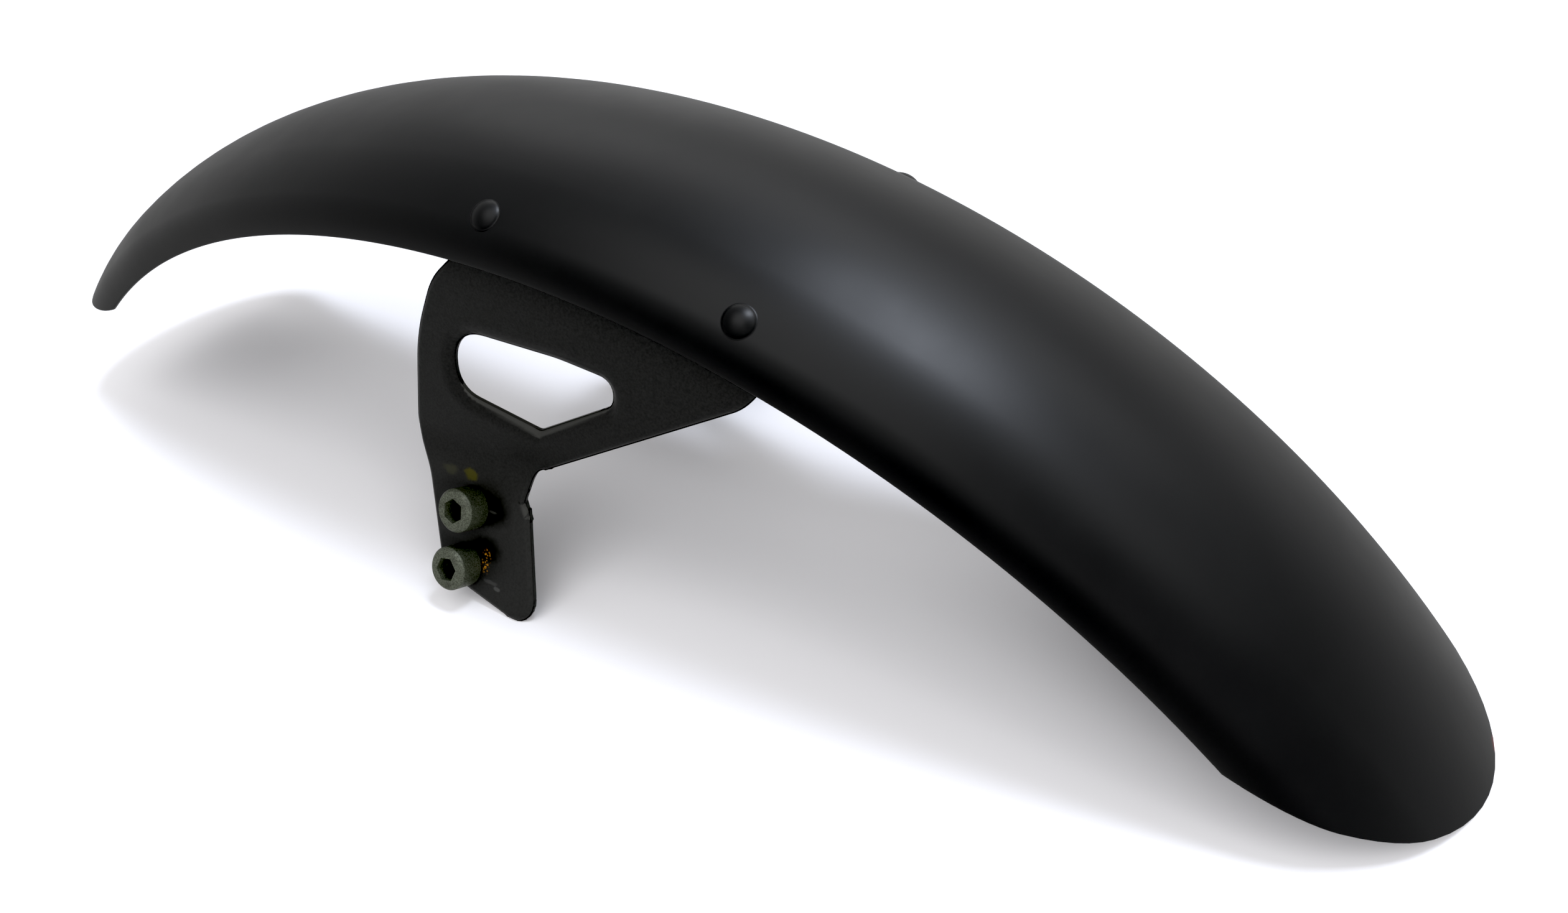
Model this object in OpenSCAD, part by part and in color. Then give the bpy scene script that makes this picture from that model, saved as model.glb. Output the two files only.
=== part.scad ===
// Front mudguard of a motorcycle: a pressed arch on two riveted side brackets.
// +X points to the tail end, -Y is the left side, +Z is up.
// The part stands on the toes of its two brackets and on the end of the tail.

/* [Shell] */
// outer radius of the crown line, measured from the wheel axle
crown_r = 345; // [300:1:380]
// width over the two side walls
shell_w = 100; // [84:1:130]
// thickness of the pressed sheet
sheet_t = 1.6; // [1:0.1:2.4]
// angle from the top of the arch to the end of the tail, on the crown
tail_ang = 51.1; // [44:0.1:56]
// how much earlier the side wall ends than the crown at the tail
tail_sweep = 9.4; // [6:0.1:14]
// angle from the top of the arch to the front tip, on the crown
tip_ang = 40.8; // [34:0.1:48]
// how much earlier the side wall ends than the crown at the front tip
tip_sweep = 5.2; // [3:0.1:8]

/* [Bracket] */
// thickness of the bracket plate
plate_t = 2.5; // [2:0.1:4]
// lean of the windowed plate, outwards towards its foot
plate_lean = 6; // [2:0.5:10]
// lean of the mounting tab, outwards towards its toe
tab_lean = 27; // [20:0.5:34]
// height of the bend between plate and tab above the ground
bend_h = 41.8; // [36:0.2:46]
// width of the neck at the bend
neck_w = 48.5; // [44:0.5:56]
// length of the window
window_l = 56; // [44:0.5:62]
// depth of the dish pressed round the window
dish_d = 1; // [0.4:0.1:1.5]

/* [Fasteners] */
// diameter of the cap screws' thread
screw_d = 8; // [6:1:8]
// distance between the two cap screws of a tab
screw_gap = 18; // [17:0.5:20]
// length of a cap screw under its head
screw_l = 12; // [8:0.5:13]
// diameter of a rivet's domed head
rivet_d = 8.5; // [8:0.5:12]
// height of a rivet's domed head
rivet_h = 1.6; // [1.4:0.1:2.6]
// angle round the arch between the two rivets of a side
rivet_gap = 13; // [11:0.5:14]

/* [Hidden] */

black = [0.07, 0.07, 0.07];
zinc = [0.44, 0.45, 0.39];

// The half section is three tangent arcs: crown, shoulder and rim.
k = shell_w / 99.8;
r_crown = 88 * k;
a_crown = 21;
r_shoulder = 44 * k;
a_shoulder = 43;
r_rim = 13 * k;
a_rim = 98;

// lateral place and depth of the outer skin where its normal stands at angle a
function skin_y(a) =
    r_crown * sin(min(a, a_crown))
    + (a > a_crown ? r_shoulder * (sin(min(a, a_shoulder)) - sin(a_crown)) : 0)
    + (a > a_shoulder ? r_rim * (sin(a) - sin(a_shoulder)) : 0);
function skin_z(a) =
    r_crown * (1 - cos(min(a, a_crown)))
    + (a > a_crown ? r_shoulder * (cos(a_crown) - cos(min(a, a_shoulder))) : 0)
    + (a > a_shoulder ? r_rim * (cos(a_shoulder) - cos(a)) : 0);
// the same point as [radius from the axle, place to the left], sunk by d
function skin(a, d) = [
    crown_r - skin_z(a) - d * cos(a),
    skin_y(a) - d * sin(a)
];
half_angles = [7, 14, 21, 28.4, 35.7, 43, 54, 65, 76, 87, 98];

rim_z = skin_z(a_rim);
rim_r = crown_r - rim_z;
wall_in = skin_y(90) - sheet_t;

// ground level below the axle, and the middle of the length
ground = crown_r * cos(tail_ang);
x_mid = crown_r * (sin(tail_ang) - sin(tip_ang)) / 2;

// rivet places: angle round the arch and angle of the wall's normal
rivet_ang = [3, 3 + rivet_gap];
rivet_wall = 40.2;

// outer face of the plate at the height of the rim's rear end
plate_end_ang = 17.9;
plate_end_z = rim_r * cos(plate_end_ang) - ground;
bend_y = wall_in - 0.45 + (plate_end_z - bend_h) * tan(plate_lean);
bend_grow = plate_t * tan((tab_lean - plate_lean) / 2);
bend_r = 1.2;
tab_len = bend_h / cos(tab_lean);
neck_x = [-24.7, neck_w - 24.7];

// cap screws: places down the tab, head size and the collar behind each hole
head_d = 1.625 * screw_d;
head_h = screw_d;
hex_af = 0.75 * screw_d;
collar_d = screw_d + 3.4;
collar_h = 3;
// shank through tab and collar, rolled thinner than the thread on the free end
shank_l = plate_t + collar_h + 0.4;
shank_d = screw_d - 1;
screw_x = 1.4;
screw_low = tab_len - 11.4;
screw_down = [screw_low - screw_gap, screw_low];

function unit(v) = v / norm(v);
// points of an arc of radius r that rounds the corner b between a and c
function corner(a, b, c, r, n = 6) =
    r <= 0 ? [b] :
    let (
        u = unit(a - b),
        v = unit(c - b),
        h = acos(u * v) / 2,
        m = b + unit(u + v) * (r / sin(h)),
        p = b + u * (r / tan(h)) - m,
        q = b + v * (r / tan(h)) - m,
        s = atan2(p.y, p.x),
        d = atan2(q.y, q.x) - s,
        w = d > 180 ? d - 360 : d < -180 ? d + 360 : d
    )
    [for (i = [0:n]) m + r * [cos(s + w * i / n), sin(s + w * i / n)]];
// outline from a list of [x, y, corner radius]
function rounded(c) =
    let (n = len(c))
    [for (i = [0:n - 1])
        let (
            a = c[(i + n - 1) % n],
            b = c[i],
            d = c[(i + 1) % n]
        )
        each corner([a.x, a.y], [b.x, b.y], [d.x, d.y], b.z)];

// outline of the bracket's tab: along the arch, up its face from the bend,
// and the corner radius, from the left of the bend round the toe
tab_corners = [
    [neck_x[0], 0, 12],
    [-17.8, -11.8, 25],
    [-7.8, 6 - tab_len, 4],
    [20, -tab_len, 6],
    [29.2, -tab_len, 5],
    [neck_x[1] - 1.9, -14.9, 1.5],
    [neck_x[1] - 4, -11.2, 0.6],
    [neck_x[1] - 2.9, -6.3, 0],
    [neck_x[1] - 2, -2.8, 0],
    [neck_x[1], 0, 0]
];
// the same for its plate, from the right of the bend over the top
plate_top = 76;
plate_corners = [
    [neck_x[1] + 3.4, 1.2, 3],
    [93.4, 39.2, 20],
    [103, 52, 0],
    [103, plate_top, 0],
    [6.8, plate_top, 0],
    [6.8, 63, 0],
    [-6.8, 51.5, 30],
    [-16.8, 33, 70]
];
// window corners; g moves the outline out by g for the dish
function window(g) = rounded([
    [-3.8 - g, 37.4 + g, 12 + g],
    [window_l - 21.2, 37.2 + g, 60],
    [window_l - 2.7 + g, 35.3 + g, 4 + g],
    [window_l - 4 + g, 27.8 - g * 0.7, 4 + g],
    [25.1, 12.6 - g, 2.5 + g],
    [-4.6 - g, 17.5 - g, 7 + g]
]);
// side view of the bracket, with heights above the bend
function in_side(corners, lean) =
    [for (c = corners) [c.x, c.y * cos(lean), c.z]];
bracket_side = rounded(concat(
    in_side(tab_corners, tab_lean),
    in_side(plate_corners, plate_lean)
));
// end view of its sheet: v is measured up a face and w outwards from it
function on_sheet(lean, v, w, r) =
    [v * sin(lean) - w * cos(lean), v * cos(lean) + w * sin(lean), r];
bracket_end = rounded([
    on_sheet(plate_lean, plate_top + 4, 0, 0),
    on_sheet(plate_lean, 0, 0, bend_r),
    on_sheet(tab_lean, -tab_len - 4, 0, 0),
    on_sheet(tab_lean, -tab_len - 4, -plate_t, 0),
    on_sheet(tab_lean, bend_grow, -plate_t, bend_r + plate_t),
    on_sheet(plate_lean, plate_top + 4, -plate_t, 0)
]);

// sweeps a profile of [radius, place to the left] from angle t0 to angle t1
module sweep(t0, t1)
    translate([-x_mid, 0, -ground])
    rotate([90, 0, 0])
    rotate([0, 0, 90 - t1])
    rotate_extrude(angle = t1 - t0, $fn = 160)
    children();

// everything beyond an end line from the rim point to the crown point,
// less a shallow bulge that gives the end its curve
module end_cut(rim_a, crown_a, bulge) {
    p = rim_r * [sin(rim_a), cos(rim_a)];
    q = crown_r * [sin(crown_a), cos(crown_a)];
    c = norm(q - p);
    r = c * c / (8 * bulge) + bulge / 2;
    slope = atan2(q.y - p.y, abs(q.x - p.x));
    turn = crown_a > 0 ? -slope : slope;
    m = (p + q) / 2;
    translate([m.x - x_mid, 0, m.y - ground])
    rotate([0, turn, 0])
    difference() {
        translate([-150, -shell_w, -150])
        cube([300, 2 * shell_w, 150]);
        translate([0, 0, r - bulge])
        rotate([90, 0, 0])
        cylinder(r = r, h = 3 * shell_w, center = true, $fn = 240);
    }
}

// a frame on the shell's outer skin with Z along the outward normal
module on_wall(ang, wall) {
    p = skin(wall, 0);
    translate([-x_mid, 0, -ground])
    rotate([0, ang, 0])
    translate([0, -p.y, p.x])
    rotate([wall, 0, 0])
    children();
}

// a frame on the bend line with Y up the face and Z outwards
module on_face(lean)
    translate([-x_mid, -bend_y, bend_h])
    rotate([90 - lean, 0, 0])
    children();

module both_sides() {
    children();
    mirror([0, 1, 0])
    children();
}

module shell_profile() {
    outer = [for (i = [len(half_angles) - 1:-1:0]) skin(half_angles[i], 0)];
    inner = [for (i = [len(half_angles) - 1:-1:0]) skin(half_angles[i], sheet_t)];
    n = len(outer);
    other = [for (i = [n - 1:-1:0]) [outer[i].x, -outer[i].y]];
    other_in = [for (i = [0:n - 1]) [inner[i].x, -inner[i].y]];
    back = [for (i = [n - 1:-1:0]) inner[i]];
    polygon(concat(outer, [skin(0, 0)], other, other_in, [skin(0, sheet_t)], back));
}

module rivet_holes(d)
    both_sides()
    for (a = rivet_ang)
    on_wall(a, rivet_wall)
    cylinder(d = d, h = 20, center = true, $fn = 32);

module shell()
    color(black)
    difference() {
        sweep(-tip_ang - 2, tail_ang + 2)
        shell_profile();
        end_cut(tail_ang - tail_sweep, tail_ang, 0.5);
        end_cut(-tip_ang + tip_sweep, -tip_ang, 4.3);
        rivet_holes(5);
    }

// strip of the bracket that lies against the inside of the wall
module flange() {
    walls = [for (a = half_angles) if (a > 28) a];
    near = [for (a = walls) skin(a, sheet_t)];
    far = [for (i = [len(walls) - 1:-1:0]) skin(walls[i], sheet_t + plate_t)];
    sweep(rivet_ang[0] - 3.5, rivet_ang[1] + 3.5)
    polygon(concat(near, far));
}

// plate and tab in one: the end view carried along the arch and cut to the side view
module bent_sheet()
    translate([-x_mid, -bend_y, bend_h])
    intersection() {
        rotate([90, 0, 90])
        linear_extrude(height = 300, center = true)
        polygon(bracket_end);
        rotate([90, 0, 0])
        linear_extrude(height = 100, center = true)
        intersection() {
            polygon(bracket_side);
            translate([0, -ground - bend_h])
            circle(r = rim_r + 6, $fn = 320);
        }
    }

module bracket()
    color(black)
    difference() {
        union() {
            flange();
            bent_sheet();
            // the dish stands proud on the wheel side
            on_face(plate_lean)
            translate([0, 0, -plate_t - dish_d])
            linear_extrude(height = plate_t)
            polygon(window(3.5));
            // drawn collars that stand off the lug behind the tab
            on_face(tab_lean)
            for (w = screw_down)
            translate([screw_x, -w, -plate_t - collar_h])
            cylinder(d = collar_d, h = collar_h + 1, $fn = 48);
        }
        on_face(plate_lean)
        translate([0, 0, -dish_d])
        linear_extrude(height = 10)
        polygon(window(3.5));
        on_face(plate_lean)
        translate([0, 0, -10])
        linear_extrude(height = 20)
        polygon(window(0));
        on_face(tab_lean)
        for (w = screw_down)
        translate([screw_x, -w, 0])
        cylinder(d = screw_d + 0.2, h = 20, center = true, $fn = 48);
        rivet_holes(5);
    }

module bracket_left()
    bracket();

module bracket_right()
    mirror([0, 1, 0])
    bracket();

// domed head outside, plain shank, flat closed head inside
module rivet() {
    grip = sheet_t + plate_t;
    ball = (rivet_d * rivet_d / 4 + rivet_h * rivet_h) / (2 * rivet_h);
    intersection() {
        translate([0, 0, rivet_h - ball])
        sphere(r = ball, $fn = 40);
        cylinder(d = rivet_d + 1, h = rivet_h, $fn = 32);
    }
    translate([0, 0, -grip - 1])
    cylinder(d = 4.8, h = grip + 1.2, $fn = 32);
    translate([0, 0, -grip - 1.5])
    cylinder(d = 0.85 * rivet_d, h = 1.5, $fn = 32);
}

module rivets()
    color(black)
    both_sides()
    for (a = rivet_ang)
    on_wall(a, rivet_wall)
    rivet();

module cap_screw() {
    difference() {
        union() {
            cylinder(d = head_d, h = head_h - 0.8, $fn = 48);
            translate([0, 0, head_h - 0.8])
            cylinder(d1 = head_d, d2 = head_d - 1.4, h = 0.8, $fn = 48);
            translate([0, 0, -shank_l - 0.1])
            cylinder(d = shank_d, h = shank_l + 0.2, $fn = 48);
            translate([0, 0, -screw_l])
            cylinder(d = screw_d, h = screw_l - shank_l, $fn = 48);
        }
        translate([0, 0, head_h / 2])
        cylinder(d = hex_af / cos(30), h = head_h, $fn = 6);
    }
}

module cap_screws()
    color(zinc)
    both_sides()
    on_face(tab_lean)
    for (w = screw_down)
    translate([screw_x, -w, 0])
    cap_screw();

shell();
bracket_left();
bracket_right();
rivets();
cap_screws();
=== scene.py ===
"""Looks of a motorcycle's front mudguard: a painted shell on two riveted brackets with worn cap screws."""

import math

import bpy
from mathutils import Matrix, Vector


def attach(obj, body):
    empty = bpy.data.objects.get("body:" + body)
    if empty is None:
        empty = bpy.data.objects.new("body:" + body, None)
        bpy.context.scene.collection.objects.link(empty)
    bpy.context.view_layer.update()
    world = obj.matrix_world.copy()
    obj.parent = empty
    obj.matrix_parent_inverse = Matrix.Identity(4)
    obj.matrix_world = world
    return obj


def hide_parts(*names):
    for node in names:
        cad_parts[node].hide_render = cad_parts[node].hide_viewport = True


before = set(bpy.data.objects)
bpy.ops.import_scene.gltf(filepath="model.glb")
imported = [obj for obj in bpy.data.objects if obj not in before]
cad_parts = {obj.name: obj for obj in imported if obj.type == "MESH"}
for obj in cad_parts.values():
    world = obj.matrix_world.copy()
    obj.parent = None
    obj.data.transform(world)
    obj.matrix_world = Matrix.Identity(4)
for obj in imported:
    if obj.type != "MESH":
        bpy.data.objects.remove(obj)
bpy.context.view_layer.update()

# Shell: one arch of 1.6 mm steel sheet, pressed over a form, with a rounded crown and walls that
# turn in at the rim. It is dip-primed and sprayed satin black, so it is smooth, with a fine
# orange-peel and a little paint missing on the edge of the tail.
crown_radius = 0.345
shell_width = 0.100
sheet = 0.0016
tail_angle = math.radians(51.1)
tail_sweep = math.radians(9.4)
tail_bulge = 0.0005
tip_angle = math.radians(40.8)
tip_sweep = math.radians(5.2)
tip_bulge = 0.0043
edge_round = 0.0005
width_scale = shell_width / 0.0998
# the half section: each arc's radius, the angle of its last normal and its number of steps
section_arcs = [
    (0.088 * width_scale, math.radians(21), 7),
    (0.044 * width_scale, math.radians(43), 6),
    (0.013 * width_scale, math.radians(98), 10),
]
arch_steps = 132

mid_length = crown_radius * (math.sin(tail_angle) - math.sin(tip_angle)) / 2
ground_drop = crown_radius * math.cos(tail_angle)
axle = Vector((-mid_length, 0, -ground_drop))


def deselect():
    """Leaves nothing selected, so that the next operator acts on the new piece alone."""
    if bpy.context.object and bpy.context.object.mode != "OBJECT":
        bpy.ops.object.mode_set(mode="OBJECT")
    bpy.ops.object.select_all(action="DESELECT")


def pick(piece):
    """Makes one piece the selected and active one."""
    deselect()
    piece.select_set(True)
    bpy.context.view_layer.objects.active = piece


def apply_modifier(piece, kind, **settings):
    """Adds one modifier with its settings and applies it."""
    pick(piece)
    modifier = piece.modifiers.new(kind, kind)
    for key, value in settings.items():
        setattr(modifier, key, value)
    bpy.ops.object.modifier_apply(modifier=modifier.name)


def place_in_mesh(piece):
    """Moves the piece's place into its mesh, so that its object sits at the origin."""
    pick(piece)
    bpy.ops.object.transform_apply(location=True, rotation=True, scale=True)


def section_point(normal, inset=0.0):
    """Place of the wall whose outer skin has that normal angle: (radius from the axle, to the left)."""
    depth = aside = start = 0.0
    for arc_radius, stop, _ in section_arcs:
        turn = min(max(normal, start), stop)
        aside += arc_radius * (math.sin(turn) - math.sin(start))
        depth += arc_radius * (math.cos(start) - math.cos(turn))
        start = stop
    return (
        crown_radius - depth - inset * math.cos(normal),
        aside - inset * math.sin(normal),
    )


rim_radius, _ = section_point(section_arcs[-1][1])


def end_angle(radius, rim_angle, crown_angle, bulge):
    """Angle round the arch at which the end line, from rim to crown, is at that radius."""
    rim = Vector((math.sin(rim_angle), math.cos(rim_angle))) * rim_radius
    crown = Vector((math.sin(crown_angle), math.cos(crown_angle))) * crown_radius
    chord = crown - rim
    out = Vector((chord.y, -chord.x)).normalized()
    if out.x * crown_angle < 0:
        out = -out
    low, high = -0.2, 1.2
    for _ in range(40):
        share = (low + high) / 2
        point = rim + chord * share + out * bulge * 4 * share * (1 - share)
        if point.length < radius:
            low = share
        else:
            high = share
    return math.atan2(point.x, point.y)


def arch_band(name, first_normal, inset, start_angle, stop_angle, steps):
    """Half of a band that runs along the arch: its section spun up, then spun round the axle."""
    deselect()
    first = section_point(first_normal, inset)
    bpy.ops.mesh.primitive_plane_add(size=0.001, location=(axle.x, -first[1], axle.z + first[0]))
    band = bpy.context.object
    band.name = band.data.name = name
    place_in_mesh(band)
    bpy.ops.object.mode_set(mode="EDIT")
    bpy.ops.mesh.merge(type="CENTER")
    start = 0.0
    for arc_radius, stop, arc_count in section_arcs:
        begin = max(start, first_normal)
        if begin < stop:
            point = section_point(begin, 0)
            centre = (
                axle.x,
                -(point[1] - arc_radius * math.sin(begin)),
                axle.z + point[0] - arc_radius * math.cos(begin),
            )
            bpy.ops.mesh.spin(
                steps=arc_count, angle=begin - stop, center=centre, axis=(1, 0, 0)
            )
        start = stop
    bpy.ops.mesh.select_all(action="SELECT")
    bpy.ops.object.mode_set(mode="OBJECT")
    to_axle = Matrix.Translation(axle)
    band.data.transform(to_axle @ Matrix.Rotation(start_angle, 4, "Y") @ to_axle.inverted())
    bpy.ops.object.mode_set(mode="EDIT")
    bpy.ops.mesh.select_all(action="SELECT")
    bpy.ops.mesh.spin(steps=steps, angle=start_angle - stop_angle, center=axle, axis=(0, 1, 0))
    bpy.ops.mesh.select_all(action="SELECT")
    bpy.ops.mesh.remove_doubles(threshold=1e-6)
    bpy.ops.object.mode_set(mode="OBJECT")
    return band


def face_out(piece, inside):
    """Turns an open skin's faces away from a point inside it."""
    pick(piece)
    bpy.ops.object.mode_set(mode="EDIT")
    bpy.ops.mesh.select_all(action="SELECT")
    bpy.ops.mesh.normals_make_consistent(inside=False)
    bpy.ops.object.mode_set(mode="OBJECT")
    middle = min(piece.data.polygons, key=lambda f: abs(f.center.x - axle.x))
    if middle.normal.dot(middle.center - inside) < 0:
        bpy.ops.object.mode_set(mode="EDIT")
        bpy.ops.mesh.select_all(action="SELECT")
        bpy.ops.mesh.flip_normals()
        bpy.ops.object.mode_set(mode="OBJECT")


def round_edges(piece, width, segments=3, angle=50):
    """Rounds the sharp edges and keeps the broad faces' shading flat up to them."""
    apply_modifier(
        piece,
        "BEVEL",
        width=width,
        segments=segments,
        limit_method="ANGLE",
        angle_limit=math.radians(angle),
        harden_normals=False,
    )
    pick(piece)
    bpy.ops.object.shade_smooth_by_angle(angle=math.radians(40))
    apply_modifier(piece, "WEIGHTED_NORMAL", keep_sharp=True, weight=80)


shell = arch_band("painted_shell", 0.0, 0.0, -tip_angle, tail_angle, arch_steps)
apply_modifier(
    shell,
    "MIRROR",
    use_axis=(False, True, False),
    use_mirror_merge=True,
    merge_threshold=1e-5,
)
face_out(shell, axle)
apply_modifier(shell, "SOLIDIFY", thickness=sheet, offset=-1, use_even_offset=True)
# each point slides round the axle, so that both ends of the sheet lie on their trimming lines
for vertex in shell.data.vertices:
    out = Vector((vertex.co.x - axle.x, vertex.co.z - axle.z))
    share = (math.atan2(out.x, out.y) + tip_angle) / (tip_angle + tail_angle)
    begin = end_angle(out.length, -tip_angle + tip_sweep, -tip_angle, tip_bulge)
    end = end_angle(out.length, tail_angle - tail_sweep, tail_angle, tail_bulge)
    turn = begin + share * (end - begin)
    vertex.co.x = axle.x + out.length * math.sin(turn)
    vertex.co.z = axle.z + out.length * math.cos(turn)
round_edges(shell, edge_round)


def linear(code, alpha=1.0):
    """Linear colour of an sRGB hex code."""
    channels = [int(code[i : i + 2], 16) / 255 for i in (0, 2, 4)]
    return [c / 12.92 if c <= 0.04045 else ((c + 0.055) / 1.055) ** 2.4 for c in channels] + [alpha]


def add_node(tree, kind, settings=None, inputs=None, links=None):
    """Adds one shader node with its settings, its socket values and the links into it."""
    node = tree.nodes.new(kind)
    for key, value in (settings or {}).items():
        setattr(node, key, value)
    for key, value in (inputs or {}).items():
        node.inputs[key].default_value = value
    for key, source in (links or {}).items():
        tree.links.new(source, node.inputs[key])
    return node


def new_material(name):
    """An empty node material with its output, and the object coordinates that patterns read."""
    material = bpy.data.materials.new(name)
    material.use_nodes = True
    tree = material.node_tree
    tree.nodes.clear()
    output = add_node(tree, "ShaderNodeOutputMaterial")
    place = add_node(tree, "ShaderNodeTexCoord").outputs["Object"]
    return material, tree, output, place


def noise(tree, place, scale, detail=2.0, roughness=0.5):
    """A fine random pattern of so many ripples a metre."""
    node = add_node(
        tree,
        "ShaderNodeTexNoise",
        inputs={"Scale": scale, "Detail": detail, "Roughness": roughness},
        links={"Vector": place},
    )
    return node.outputs["Fac"]


def ramp(tree, source, low, high, to_low=0.0, to_high=1.0):
    """Maps a pattern from one range to another, with an eased run between its ends."""
    node = add_node(
        tree,
        "ShaderNodeMapRange",
        {"interpolation_type": "SMOOTHSTEP"},
        inputs={"From Min": low, "From Max": high, "To Min": to_low, "To Max": to_high},
        links={"Value": source},
    )
    return node.outputs["Result"]


def product(tree, first, second):
    """One mask limited by another."""
    links = {0: first, 1: second}
    return add_node(tree, "ShaderNodeMath", {"operation": "MULTIPLY"}, links=links).outputs[0]


def patch(tree, place, centre, size, fray, grain):
    """Mask of one local mark: a soft blob of that half size in metres, its border frayed by noise."""
    away = add_node(
        tree,
        "ShaderNodeVectorMath",
        {"operation": "SUBTRACT"},
        inputs={1: centre},
        links={0: place},
    ).outputs[0]
    scaled = add_node(
        tree,
        "ShaderNodeVectorMath",
        {"operation": "DIVIDE"},
        inputs={1: size},
        links={0: away},
    ).outputs[0]
    far = add_node(tree, "ShaderNodeVectorMath", {"operation": "LENGTH"}, links={0: scaled}).outputs["Value"]
    rough = add_node(
        tree,
        "ShaderNodeMath",
        {"operation": "MULTIPLY_ADD"},
        inputs={1: fray},
        links={0: grain, 2: far},
    ).outputs[0]
    return ramp(tree, rough, 1.0 + fray / 2, 0.45 + fray / 2)


def lay_over(tree, ground, mask, code):
    """A flat colour laid over a colour where the mask is full."""
    over = add_node(tree, "ShaderNodeMix", {"data_type": "RGBA"}, links={"Factor": mask, "A": ground})
    over.inputs["B"].default_value = linear(code)
    return over.outputs["Result"]


def black_enamel(tree, place):
    """Colour and gloss of the sprayed enamel, both drifting slightly from place to place."""
    drift = noise(tree, place, 18.0, 4.0, 0.6)
    tint = add_node(tree, "ShaderNodeMix", {"data_type": "RGBA"}, links={"Factor": drift})
    tint.inputs["A"].default_value = linear("0b0b0b")
    tint.inputs["B"].default_value = linear("121212")
    return tint.outputs["Result"], ramp(tree, drift, 0.2, 0.8, 0.36, 0.44)


def finish_paint(tree, output, place, colour, gloss, mirror, peel_scale, peel_depth):
    """Closes a paint with its orange-peel and its faint mirror."""
    peel = noise(tree, place, peel_scale, 2.0, 0.5)
    bump = add_node(
        tree,
        "ShaderNodeBump",
        inputs={"Strength": 0.3, "Distance": peel_depth},
        links={"Height": peel},
    )
    paint = add_node(
        tree,
        "ShaderNodeBsdfPrincipled",
        inputs={"IOR": 1.5, "Specular IOR Level": mirror},
        links={"Base Color": colour, "Roughness": gloss, "Normal": bump.outputs["Normal"]},
    )
    tree.links.new(paint.outputs[0], output.inputs["Surface"])


def satin_black_paint():
    """Satin black enamel: near black with soft highlights, a fine orange-peel and one chip at the tail."""
    material, tree, output, place = new_material("satin_black_paint")
    colour, gloss = black_enamel(tree, place)
    grain = noise(tree, place, 700.0, 3.0)
    chip = patch(tree, place, (0.2463, 0.0084, 0.0005), (0.0016, 0.0040, 0.0022), 0.9, grain)
    colour = lay_over(tree, colour, chip, "4a1c1a")
    finish_paint(tree, output, place, colour, gloss, 0.3, 900.0, 0.00002)
    return material


def dusty_black_paint_and_painted_light():
    """The brackets' enamel: dusty on the tab, painted shade by the screw heads, painted light on faces that
    point up, stains, rust and scratches.
    """
    material, tree, output, place = new_material("dusty_black_paint_and_painted_light")
    colour, gloss = black_enamel(tree, place)
    speck = noise(tree, place, 1500.0, 3.0, 0.7)
    grain = noise(tree, place, 420.0, 4.0, 0.6)
    colour = lay_over(tree, colour, ramp(tree, speck, 0.2, 0.8, 0.5, 1.0), "272726")
    height = add_node(tree, "ShaderNodeSeparateXYZ", links={0: place}).outputs["Z"]
    dust = product(tree, ramp(tree, height, 0.046, 0.028, 0.0, 1.0), ramp(tree, speck, 0.2, 0.8, 0.5, 1.0))
    colour = lay_over(tree, colour, dust, "2c2c2b")
    # painted light: faces that point upwards, such as the window's lower lip, are painted lighter, as if lit
    # from above
    facing = add_node(tree, "ShaderNodeNewGeometry").outputs["Normal"]
    painted_light_on_upper_faces = add_node(tree, "ShaderNodeSeparateXYZ", links={0: facing}).outputs["Z"]
    colour = lay_over(tree, colour, ramp(tree, painted_light_on_upper_faces, 0.48, 0.62), "3a3a38")
    # painted shade: darker patches to the right of the screw heads, where the heads cast shadows and shade
    # gathers between head and tab
    for centre, size in (
        ((-0.0125, -0.0600, 0.0275), (0.0080, 0.0060, 0.0070)),
        ((-0.0125, -0.0655, 0.0165), (0.0070, 0.0060, 0.0050)),
    ):
        colour = lay_over(tree, colour, patch(tree, place, centre, size, 0.7, grain), "1f1f1e")
    for centre, size, code in (
        ((-0.0223, -0.0564, 0.0346), (0.0032, 0.0034, 0.0022), "3d3b20"),
        ((-0.0306, -0.0566, 0.0342), (0.0036, 0.0034, 0.0018), "31312a"),
        ((-0.0100, -0.0701, 0.0080), (0.0030, 0.0020, 0.0008), "363635"),
        ((-0.0070, -0.0708, 0.0068), (0.0016, 0.0020, 0.0007), "3e3e3d"),
        ((-0.0125, -0.0604, 0.0268), (0.0024, 0.0012, 0.0005), "333331"),
    ):
        colour = lay_over(tree, colour, patch(tree, place, centre, size, 1.2, grain), code)
    rust = patch(tree, place, (-0.0125, -0.0673, 0.0131), (0.0020, 0.0040, 0.0046), 0.8, grain)
    grains = add_node(
        tree,
        "ShaderNodeTexVoronoi",
        inputs={"Scale": 1300.0, "Randomness": 1.0},
        links={"Vector": place},
    ).outputs["Distance"]
    colour = lay_over(tree, colour, product(tree, rust, ramp(tree, grains, 0.45, 0.25)), "94682c")
    finish_paint(tree, output, place, colour, gloss, 0.16, 1100.0, 0.00004)
    return material


black_paint = satin_black_paint()


def finish_piece(piece, material, node):
    """Gives a piece its material, its place on the part and the node that it stands for."""
    piece.data.materials.clear()
    piece.data.materials.append(material)
    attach(piece, "root")
    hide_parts(node)


finish_piece(shell, black_paint, "shell")

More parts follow.
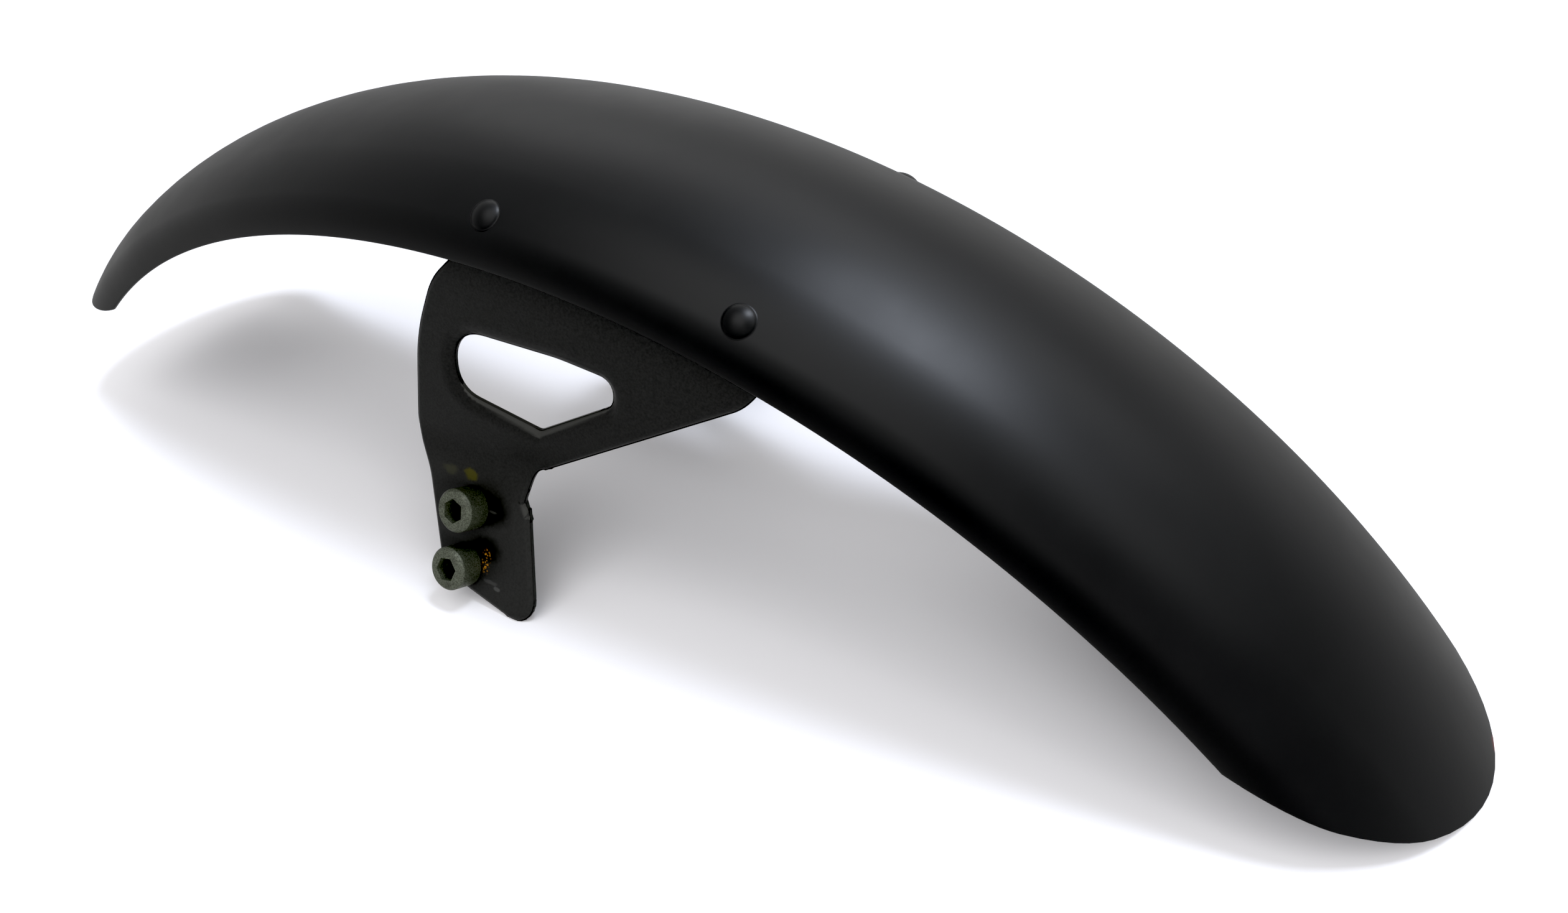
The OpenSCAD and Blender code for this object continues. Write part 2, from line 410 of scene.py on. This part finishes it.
# Brackets: one blank of 2.5 mm steel plate a side, cut with its window, the window's border pressed
# in by 1 mm and the tab bent out. A strip of it follows the wall, riveted on and sprayed with it.
plate = 0.0025
plate_lean = math.radians(6)
tab_lean = math.radians(27)
bend_side = 0.05269
bend_height = 0.0418
bend_reach = 0.003
rim_reach = 0.010
rim_lean = math.radians(12)
dish_depth = 0.001
dish_ramp = 0.0028
crease_lean = math.radians(7)
tab_length = bend_height / math.cos(tab_lean)
window_round = 0.0017
edge_break = 0.0004
grid_pitch = 0.0014
flange_wall = math.radians(28.4)
flange_begin = math.radians(-0.5)
flange_end = math.radians(19.5)
collar_radius = 0.0057
collar_height = 0.003
bore_radius = 0.0041
screw_place = 0.0014
screw_down = [tab_length - 0.0294, tab_length - 0.0114]

# corners in millimetres along the arch and up a face from the bend, each with its radius
tab_corners = [
    (-24.7, 0, 12),
    (-17.8, -11.8, 25),
    (-7.8, 6 - tab_length * 1000, 4),
    (20, -tab_length * 1000, 6),
    (29.2, -tab_length * 1000, 5),
    (21.9, -14.9, 1.5),
    (19.8, -11.2, 0.6),
    (20.9, -6.3, 0),
    (21.8, -2.8, 0),
    (23.8, 0, 0),
]
plate_corners = [
    (27.2, 1.2, 3),
    (93.4, 39.2, 20),
    (103, 52, 0),
    (103, 76, 0),
    (6.8, 76, 0),
    (6.8, 63, 0),
    (-6.8, 51.5, 30),
    (-16.8, 33, 70),
]


def window_corners(grow):
    """Corners of the bracket's window, moved out by some millimetres."""
    return [
        (-3.8 - grow, 37.4 + grow, 12 + grow),
        (34.8, 37.2 + grow, 60),
        (53.3 + grow, 35.3 + grow, 4 + grow),
        (52 + grow, 27.8 - grow * 0.7, 4 + grow),
        (25.1, 12.6 - grow, 2.5 + grow),
        (-4.6 - grow, 17.5 - grow, 7 + grow),
    ]


def in_side(corners, lean):
    """Corners of a leaning face as they are seen square from the side."""
    return [(x, y * math.cos(lean), radius) for x, y, radius in corners]


def rounded(corners, steps=6):
    """Outline in metres through corners in millimetres, each turned into an arc of its radius."""
    outline = []
    places = [Vector((x, y)) / 1000 for x, y, _ in corners]
    for i, place in enumerate(places):
        radius = corners[i][2] / 1000
        before = (places[i - 1] - place).normalized()
        after = (places[(i + 1) % len(places)] - place).normalized()
        if radius == 0:
            outline.append(place)
            continue
        half = before.angle(after) / 2
        centre = place + (before + after).normalized() * radius / math.sin(half)
        first = place + before * radius / math.tan(half) - centre
        last = place + after * radius / math.tan(half) - centre
        turn = math.atan2(first.cross(last), first.dot(last)) / steps
        for step in range(steps + 1):
            cosine, sine = math.cos(turn * step), math.sin(turn * step)
            swung = (first.x * cosine - first.y * sine, first.x * sine + first.y * cosine)
            outline.append(centre + Vector(swung))
    return outline


def prism(name, outline, front, back):
    """A closed prism of an outline in the side view, from one depth along Y to another."""
    deselect()
    bpy.ops.mesh.primitive_circle_add(vertices=len(outline), radius=0.01, fill_type="NGON")
    piece = bpy.context.object
    piece.name = piece.data.name = name
    for vertex, point in zip(piece.data.vertices, outline):
        vertex.co = (point.x, front, point.y)
    bpy.ops.object.mode_set(mode="EDIT")
    bpy.ops.mesh.select_all(action="SELECT")
    bpy.ops.mesh.extrude_region_move(TRANSFORM_OT_translate={"value": (0, back - front, 0)})
    bpy.ops.mesh.select_all(action="SELECT")
    bpy.ops.mesh.normals_make_consistent(inside=False)
    bpy.ops.object.mode_set(mode="OBJECT")
    return piece


def combine(piece, tool, operation):
    """Joins, cuts or keeps one piece with a second one, which is then removed."""
    apply_modifier(piece, "BOOLEAN", object=tool, operation=operation, solver="EXACT")
    bpy.data.objects.remove(tool, do_unlink=True)


def inside_depth(point, outline):
    """Distance of a point to an outline, positive inside it."""
    nearest = 1.0
    within = False
    for i, end in enumerate(outline):
        begin = outline[i - 1]
        edge = end - begin
        share = min(max((point - begin).dot(edge) / edge.length_squared, 0), 1)
        nearest = min(nearest, (point - begin - edge * share).length)
        if (begin.y > point.y) != (end.y > point.y):
            if point.x < begin.x + edge.x * (point.y - begin.y) / edge.y:
                within = not within
    return nearest if within else -nearest


def smooth(share):
    """Eases a share between 0 and 1."""
    share = min(max(share, 0), 1)
    return share * share * (3 - 2 * share)


def break_edges(piece):
    """Takes the sharpness off the sawn edges of a plate."""
    apply_modifier(
        piece,
        "BEVEL",
        width=edge_break,
        segments=3,
        limit_method="ANGLE",
        angle_limit=math.radians(50),
    )


def cut_grid(piece, axis, start, stop):
    """Cuts a piece's faces into even strips along one axis, so that it can be shaped."""
    pick(piece)
    bpy.ops.object.mode_set(mode="EDIT")
    count = int((stop - start) / grid_pitch)
    for i in range(count + 1):
        place = [0, 0, 0]
        facing = [0, 0, 0]
        place[axis] = start + i * grid_pitch
        facing[axis] = 1
        bpy.ops.mesh.select_all(action="SELECT")
        bpy.ops.mesh.bisect(plane_co=place, plane_no=facing)
    bpy.ops.object.mode_set(mode="OBJECT")


dish_outline = rounded(in_side(window_corners(3.5), plate_lean))
dish_box = [(min(c), max(c)) for c in zip(*dish_outline)]


def sheet_side(x, z):
    """Place along Y of the bracket's outer face, and how steeply it leans there."""
    plate_slope, tab_slope = math.tan(plate_lean), math.tan(tab_lean)
    if z > bend_reach:
        slope = plate_slope
        side = plate_slope * z
    elif z < -bend_reach:
        slope = tab_slope
        side = tab_slope * z
    else:
        gain = (plate_slope - tab_slope) / 2
        slope = (plate_slope + tab_slope) / 2 + gain * z / bend_reach
        side = (plate_slope + tab_slope) / 2 * z + gain / 2 * (z * z / bend_reach + bend_reach)
    # its top follows the wall, a little steeper than the plate
    below_rim = rim_radius - math.hypot(x, z + bend_height - axle.z)
    near_rim = max(rim_reach - below_rim, 0)
    if z > 0:
        side += near_rim * min(near_rim / rim_reach, 1) / 2 * math.tan(rim_lean)
    # the border of the window is pressed in
    if dish_box[0][0] < x < dish_box[0][1] and dish_box[1][0] < z < dish_box[1][1]:
        side += dish_depth * smooth(inside_depth(Vector((x, z)), dish_outline) / dish_ramp)
    # the rear strip of the tab is knocked back a little along a crease
    past_crease = x - 0.0155 + z * 0.1865
    if z < -0.010 and past_crease > -0.0015:
        side += (past_crease + 0.0015) * smooth((past_crease + 0.0015) / 0.003) * math.tan(crease_lean)
    return side - bend_side, slope


def tab_frame(down, out=0.0):
    """Frame on the tab's outer face: its Z points outwards."""
    return (
        Matrix.Translation((-mid_length, -bend_side, bend_height))
        @ Matrix.Rotation(math.pi / 2 - tab_lean, 4, "X")
        @ Matrix.Translation((screw_place, -down, out))
    )


def disc(name, radius, low, high, down):
    """A plain cylinder square to the tab, between two heights over its outer face."""
    deselect()
    bpy.ops.mesh.primitive_cylinder_add(vertices=48, radius=radius, depth=high - low)
    piece = bpy.context.object
    piece.name = piece.data.name = name
    piece.data.transform(tab_frame(down, (low + high) / 2))
    return piece


outline = rounded(in_side(tab_corners, tab_lean) + in_side(plate_corners, plate_lean))
window = rounded(in_side(window_corners(0), plate_lean))
bracket = prism("bracket_plate_left", outline, 0, plate)
deselect()
bpy.ops.mesh.primitive_cylinder_add(
    vertices=720,
    radius=rim_radius + 0.006,
    depth=0.02,
    location=(0, 0, axle.z - bend_height),
    rotation=(math.pi / 2, 0, 0),
)
combine(bracket, bpy.context.object, "INTERSECT")
combine(bracket, prism("window_cutter", window, -0.01, 0.01), "DIFFERENCE")
pick(bracket)
for edge in bracket.data.edges:
    ends = [bracket.data.vertices[i].co for i in edge.vertices]
    on_front = all(abs(end.y) < 1e-6 for end in ends)
    on_window = all(abs(inside_depth(Vector((end.x, end.z)), window)) < 1e-5 for end in ends)
    edge.select = on_front and on_window
bpy.ops.object.mode_set(mode="EDIT")
bpy.ops.mesh.bevel(offset=window_round, segments=7, affect="EDGES")
bpy.ops.object.mode_set(mode="OBJECT")
break_edges(bracket)
cut_grid(bracket, 0, -0.0245, 0.092)
cut_grid(bracket, 2, -0.0411, 0.062)
for vertex in bracket.data.vertices:
    x, through, z = vertex.co
    side, slope = sheet_side(x, z)
    vertex.co = (x - mid_length, side + through * math.hypot(1, slope), z + bend_height)

flange = arch_band("flange", flange_wall, sheet, flange_begin, flange_end, 28)
face_out(flange, axle)
apply_modifier(flange, "SOLIDIFY", thickness=plate, offset=-1, use_even_offset=True)
break_edges(flange)
combine(bracket, flange, "UNION")
for down in screw_down:
    collar = disc("collar", collar_radius, -plate - collar_height, -plate / 2, down)
    apply_modifier(collar, "BEVEL", width=edge_break, segments=3, limit_method="ANGLE")
    combine(bracket, collar, "UNION")
for down in screw_down:
    combine(bracket, disc("bore", bore_radius, -0.02, 0.02, down), "DIFFERENCE")
pick(bracket)
bpy.ops.object.shade_smooth_by_angle(angle=math.radians(32))

pick(bracket)
bpy.ops.object.duplicate()
other_bracket = bpy.context.object
other_bracket.name = other_bracket.data.name = "bracket_plate_right"
other_bracket.data.transform(Matrix.Diagonal((1, -1, 1, 1)))
other_bracket.data.flip_normals()

bracket_paint = dusty_black_paint_and_painted_light()
finish_piece(bracket, bracket_paint, "bracket_left")
finish_piece(other_bracket, bracket_paint, "bracket_right")

# Rivets: four steel rivets set from outside, each domed head sprayed with the shell, so that a soft
# fillet of paint runs out from its rim. The closed heads lie on the brackets' inner faces.
rivet_places = [math.radians(3), math.radians(16)]
rivet_wall = math.radians(40.2)
rivet_grip = sheet + plate
wall_hollow = 0.044


def turned(name, profile, steps):
    """A closed turned piece: a profile of (radius, height) from the top to the bottom of its axis."""
    deselect()
    bpy.ops.mesh.primitive_plane_add(size=0.001, location=(profile[0][0], 0, profile[0][1]))
    piece = bpy.context.object
    piece.name = piece.data.name = name
    place_in_mesh(piece)
    bpy.ops.object.mode_set(mode="EDIT")
    bpy.ops.mesh.merge(type="CENTER")
    for (radius, height), (next_radius, next_height) in zip(profile, profile[1:]):
        step = (next_radius - radius, 0, next_height - height)
        bpy.ops.mesh.extrude_region_move(TRANSFORM_OT_translate={"value": step})
    bpy.ops.mesh.select_all(action="SELECT")
    bpy.ops.mesh.spin(steps=steps, angle=2 * math.pi, center=(0, 0, 0), axis=(0, 0, 1))
    bpy.ops.mesh.select_all(action="SELECT")
    bpy.ops.mesh.remove_doubles(threshold=2e-6)
    bpy.ops.mesh.normals_make_consistent(inside=False)
    bpy.ops.object.mode_set(mode="OBJECT")
    return piece


def arc_profile(centre, radius, start, stop, steps):
    """Points of an arc in a profile, between two angles from the axis, in degrees."""
    angles = [math.radians(start + (stop - start) * i / steps) for i in range(steps + 1)]
    return [(centre[0] + radius * math.sin(a), centre[1] + radius * math.cos(a)) for a in angles]


def join_both_sides(pieces, name):
    """Joins pieces of the left side, adds their mirror images and names the result."""
    deselect()
    for piece in pieces:
        piece.select_set(True)
    bpy.context.view_layer.objects.active = pieces[0]
    bpy.ops.object.join()
    joined = bpy.context.object
    joined.name = joined.data.name = name
    apply_modifier(joined, "MIRROR", use_axis=(False, True, False), use_mirror_merge=False)
    return joined


dome = [(0, 0.0014)] + arc_profile((0, -0.00589), 0.00729, 4, 32.3, 8)
skirt = [(0.00402, 0.00013), (0.0042, 0.00004), (0.0044, 0), (0.0044, -0.0006), (0.0024, -0.0006)]
tail = [(0.0024, -rivet_grip + 0.0001), (0.0036, -rivet_grip + 0.0001), (0.0036, -rivet_grip - 0.0011)]
tail += [(0.0032, -rivet_grip - 0.0015), (0, -rivet_grip - 0.0015)]
heads = []
for angle in rivet_places:
    head = turned("rivet", dome + skirt + tail, 48)
    # the head is hollowed to the curve of the wall, so that its rim lies on it all the way round
    for vertex in head.data.vertices:
        if vertex.co.z > -0.001:
            vertex.co.z -= vertex.co.x**2 / (2 * crown_radius) + vertex.co.y**2 / (2 * wall_hollow)
    radius, aside = section_point(rivet_wall)
    head.data.transform(
        Matrix.Translation(axle)
        @ Matrix.Rotation(angle, 4, "Y")
        @ Matrix.Translation((0, -aside, radius))
        @ Matrix.Rotation(rivet_wall, 4, "X")
    )
    heads.append(head)
rivets = join_both_sides(heads, "dome_rivets")
pick(rivets)
bpy.ops.object.shade_smooth_by_angle(angle=math.radians(50))
finish_piece(rivets, black_paint, "rivets")

# Cap screws: four M8 socket-head screws of zinc-plated steel, turned, knurled and rolled. The
# plating has dulled to a blotchy greenish grey, and the sockets are painted near black as shade.
head_radius = 0.0065
head_height = 0.008
shank_radius = 0.0035
shank_length = plate + collar_height + 0.0004
screw_length = 0.012
thread_radius = 0.004
thread_pitch = 0.00125
hex_radius = 0.00375
knurls = 44


def cap_screw(turn):
    """One screw, its axis on Z and the underside of its head on the ground plane."""
    head_top = [(0, head_height), (head_radius - 0.0012, head_height)]
    head_top += arc_profile((head_radius - 0.0012, head_height - 0.0007), 0.0007, 0, 50, 3)
    head_top += arc_profile((head_radius - 0.0006, head_height - 0.0012), 0.0006, 50, 90, 3)
    head_side = [(head_radius, head_height - 0.0014), (head_radius, 0.0008)]
    head_foot = [(head_radius - 0.0001, 0.0007), (head_radius - 0.00015, 0.0003)]
    head_foot += [(head_radius - 0.0004, 0), (shank_radius, 0)]
    thread = [(shank_radius, -shank_length), (thread_radius - 0.0003, -shank_length - 0.0001)]
    low = -shank_length - 0.0003
    while low - thread_pitch > -screw_length:
        thread += [(thread_radius, low - 0.0001), (thread_radius, low - 0.0004)]
        thread += [(thread_radius - 0.0006, low - 0.0008), (thread_radius - 0.0006, low - 0.001)]
        low -= thread_pitch
    thread += [(thread_radius - 0.0008, -screw_length + 0.0004), (thread_radius - 0.0012, -screw_length)]
    thread += [(0, -screw_length)]
    screw = turned("screw", head_top + head_side + head_foot + thread, knurls * 2)
    for vertex in screw.data.vertices:
        x, y, z = vertex.co
        if math.hypot(x, y) > head_radius - 0.00005 and z < head_height - 0.0013:
            step = round(math.atan2(y, x) / (math.pi / knurls))
            if step % 2:
                vertex.co.x *= 0.985
                vertex.co.y *= 0.985
    deselect()
    bpy.ops.mesh.primitive_cylinder_add(
        vertices=6, radius=hex_radius, depth=head_height, location=(0, 0, head_height)
    )
    combine(screw, bpy.context.object, "DIFFERENCE")
    screw.data.transform(Matrix.Rotation(math.radians(turn), 4, "Z"))
    pick(screw)
    bpy.ops.object.shade_smooth_by_angle(angle=math.radians(28))
    return screw


screw_set = []
for down, turn in zip(screw_down, (8, 41)):
    screw = cap_screw(turn)
    screw.data.transform(tab_frame(down))
    screw_set.append(screw)
screws = join_both_sides(screw_set, "socket_cap_screws")


def worn_zinc():
    """Worn zinc plate: dull greenish grey, finely speckled, oily in blotches, with painted shade in the
    sockets.
    """
    material, tree, output, place = new_material("worn_zinc")
    speck = noise(tree, place, 2600.0, 3.0, 0.8)
    blotch = noise(tree, place, 260.0, 3.0, 0.6)
    share = ramp(tree, speck, 0.35, 0.65)
    tint = add_node(tree, "ShaderNodeMix", {"data_type": "RGBA"}, links={"Factor": share})
    tint.inputs["A"].default_value = linear("36382f")
    tint.inputs["B"].default_value = linear("5c6054")
    colour = lay_over(tree, tint.outputs["Result"], ramp(tree, blotch, 0.5, 0.75, 0.0, 0.5), "30312b")
    # painted shade: the inside of each socket is painted near black
    for down in screw_down:
        for side in (1, -1):
            x, y, z = tab_frame(down, 0.0048).translation
            socket = patch(tree, place, (x, y * side, z), (0.0042, 0.0042, 0.0042), 0.2, blotch)
            colour = lay_over(tree, colour, socket, "10100e")
    bump = add_node(
        tree,
        "ShaderNodeBump",
        inputs={"Strength": 0.4, "Distance": 0.00006},
        links={"Height": speck},
    )
    metal = add_node(
        tree,
        "ShaderNodeBsdfPrincipled",
        inputs={"Metallic": 0.35},
        links={
            "Base Color": colour,
            "Roughness": ramp(tree, speck, 0.3, 0.7, 0.62, 0.40),
            "Normal": bump.outputs["Normal"],
        },
    )
    tree.links.new(metal.outputs[0], output.inputs["Surface"])
    return material


finish_piece(screws, worn_zinc(), "cap_screws")

# Floor: a sheet of white paper, far wider than the part, and soft white light all round it.
deselect()
bpy.ops.mesh.primitive_plane_add(size=12, location=(0, 0, 0))
floor = bpy.context.object
floor.name = floor.data.name = "paper_floor"


def white_paper():
    """Matt white paper: one even colour."""
    material, tree, output, _ = new_material("white_paper")
    paper = add_node(
        tree,
        "ShaderNodeBsdfPrincipled",
        inputs={"Base Color": linear("f4f3f6"), "Roughness": 0.9},
    )
    tree.links.new(paper.outputs[0], output.inputs["Surface"])
    return material


floor.data.materials.append(white_paper())
# the paper is left out of mirror images, so that the walls of the shell stay dark towards the rim
floor.visible_glossy = False


def soft_box(name, place, aim, size, power, colour="ffffff"):
    """One square studio light at a place, turned to a point."""
    lamp_data = bpy.data.lights.new(name, "AREA")
    lamp_data.shape = "RECTANGLE"
    lamp_data.size, lamp_data.size_y = size
    lamp_data.energy = power
    lamp_data.color = linear(colour)[:3]
    lamp = bpy.data.objects.new(name, lamp_data)
    bpy.context.scene.collection.objects.link(lamp)
    lamp.location = place
    lamp.rotation_euler = (Vector(aim) - Vector(place)).to_track_quat("-Z", "Y").to_euler()
    return lamp


soft_box("strip_light", (0, 1.65, 2.2), (0, 0, 0.05), (5.28, 0.66), 19)
soft_box("back_wall_light", (0, 3.52, 1.1), (0, 0, 0.05), (6.6, 1.76), 8)
soft_box("front_light", (0.66, -3.3, 1.76), (0, 0, 0.05), (4.4, 1.76), 10)
soft_box("ceiling_light", (0.66, 0.55, 2.42), (0, 0, 0.05), (0.7, 0.55), 40, "e9f1ff")
soft_box("front_ceiling_light", (0, -0.99, 1.98), (0, 0, 0.05), (1.76, 1.76), 15)
soft_box("tail_side_light", (1.98, 0, 1.98), (0, 0, 0.05), (1.32, 1.32), 6)
low_light = soft_box("low_side_light", (1.6, -1.1, 0.5), (0, 0, 0.05), (0.8, 0.5), 18)
# the low light only fills the sides of the screws: it makes no mirror image in the shell
low_light.visible_glossy = False

world = bpy.data.worlds.new("studio")
bpy.context.scene.world = world
world.use_nodes = True
world.node_tree.nodes["Background"].inputs["Color"].default_value = linear("ffffff")
world.node_tree.nodes["Background"].inputs["Strength"].default_value = 0.62

# Camera: a small camera held close above the left side, slightly rolled.
photo_width = 2520
camera_focus = 1693.33
camera_data = bpy.data.cameras.new("camera")
camera_data.sensor_fit = "HORIZONTAL"
camera_data.sensor_width = 36
camera_data.lens = 36 * camera_focus / photo_width
camera_data.clip_start = 0.01
camera = bpy.data.objects.new("camera", camera_data)
bpy.context.scene.collection.objects.link(camera)
camera.location = (0.18990, -0.21537, 0.21951)
camera.rotation_euler = [math.radians(a) for a in (53.149, 3.049, 30.543)]
bpy.context.scene.camera = camera

view = bpy.context.scene.view_settings
view.view_transform = "Standard"
view.use_curve_mapping = True
view.curve_mapping.black_level = (0.0235, 0.0235, 0.0235)
view.curve_mapping.update()
